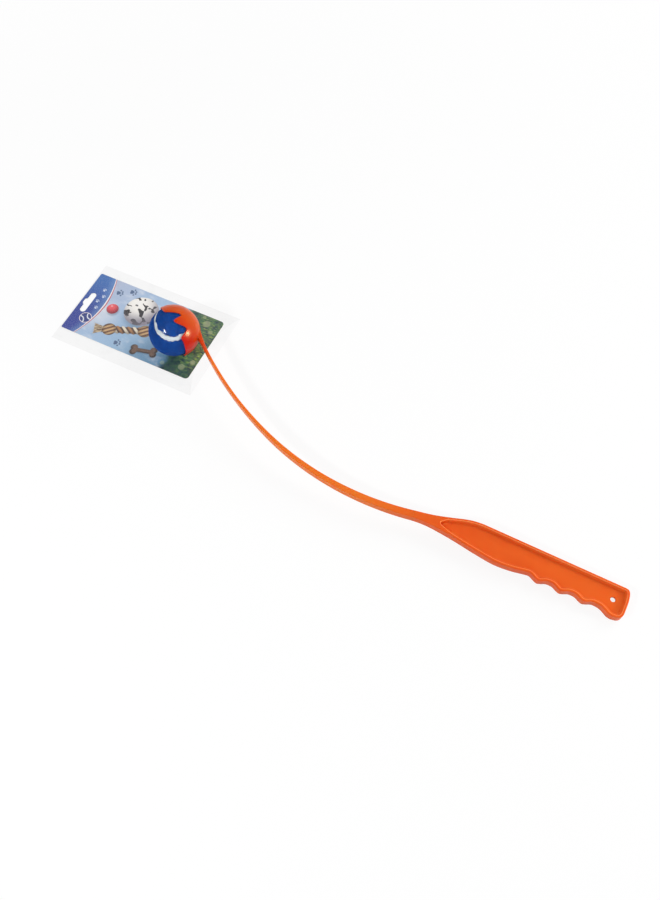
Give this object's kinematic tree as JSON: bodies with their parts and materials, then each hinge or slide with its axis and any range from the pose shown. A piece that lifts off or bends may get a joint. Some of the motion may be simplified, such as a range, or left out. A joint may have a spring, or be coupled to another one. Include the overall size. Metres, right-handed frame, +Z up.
{
  "type": "dog ball thrower",
  "caption": "Springy moulded arm with a finger-grooved grip and a clawed cup that holds and flings a felt dog ball, with its shop card and clear bag round the head.",
  "frame": {"origin": "on the table, under the middle of the whole part's bounding box", "axes": "+X from the packed head towards the end of the grip, +Z up; the thrower lies on its side, so its curve lies in the XY plane"},
  "size_m": [0.7966, 0.1882, 0.0703],
  "materials": {
    "orange_plastic": "satin orange, as moulded",
    "core_rubber": "moulded black rubber",
    "felt": "blue needled felt",
    "seam_rubber": "off-white cured seam",
    "printed_card": "varnished print, blue header over light blue",
    "clear_film": "clear polypropylene film"
  },
  "bodies": {
    "thrower": {"grip_handle": "orange_plastic", "flex_arm": "orange_plastic", "ball_cup": "orange_plastic"},
    "ball": {"core_half_top": "core_rubber", "core_half_bottom": "core_rubber", "felt_panel_a": "felt", "felt_panel_b": "felt", "ball_seam": "seam_rubber"},
    "retail_pack": {"insert_card": "printed_card", "bag_back_film": "clear_film", "bag_front_film": "clear_film"}
  },
  "joints": [
    {"name": "pack_pull_off", "type": "slide", "parent": "thrower", "child": "retail_pack", "axis": [-1, 0, 0], "range_m": [0, 0.18], "deforming": ["bag_front_film"]},
    {"name": "ball_release", "type": "slide", "parent": "thrower", "child": "ball", "axis": [-0.6012, -0.7986, 0.0276], "range_m": [0, 0.06]}
  ],
  "couplings": [
    {"joint": "ball_release", "follows": "pack_pull_off", "ratio": 0.33333}
  ]
}
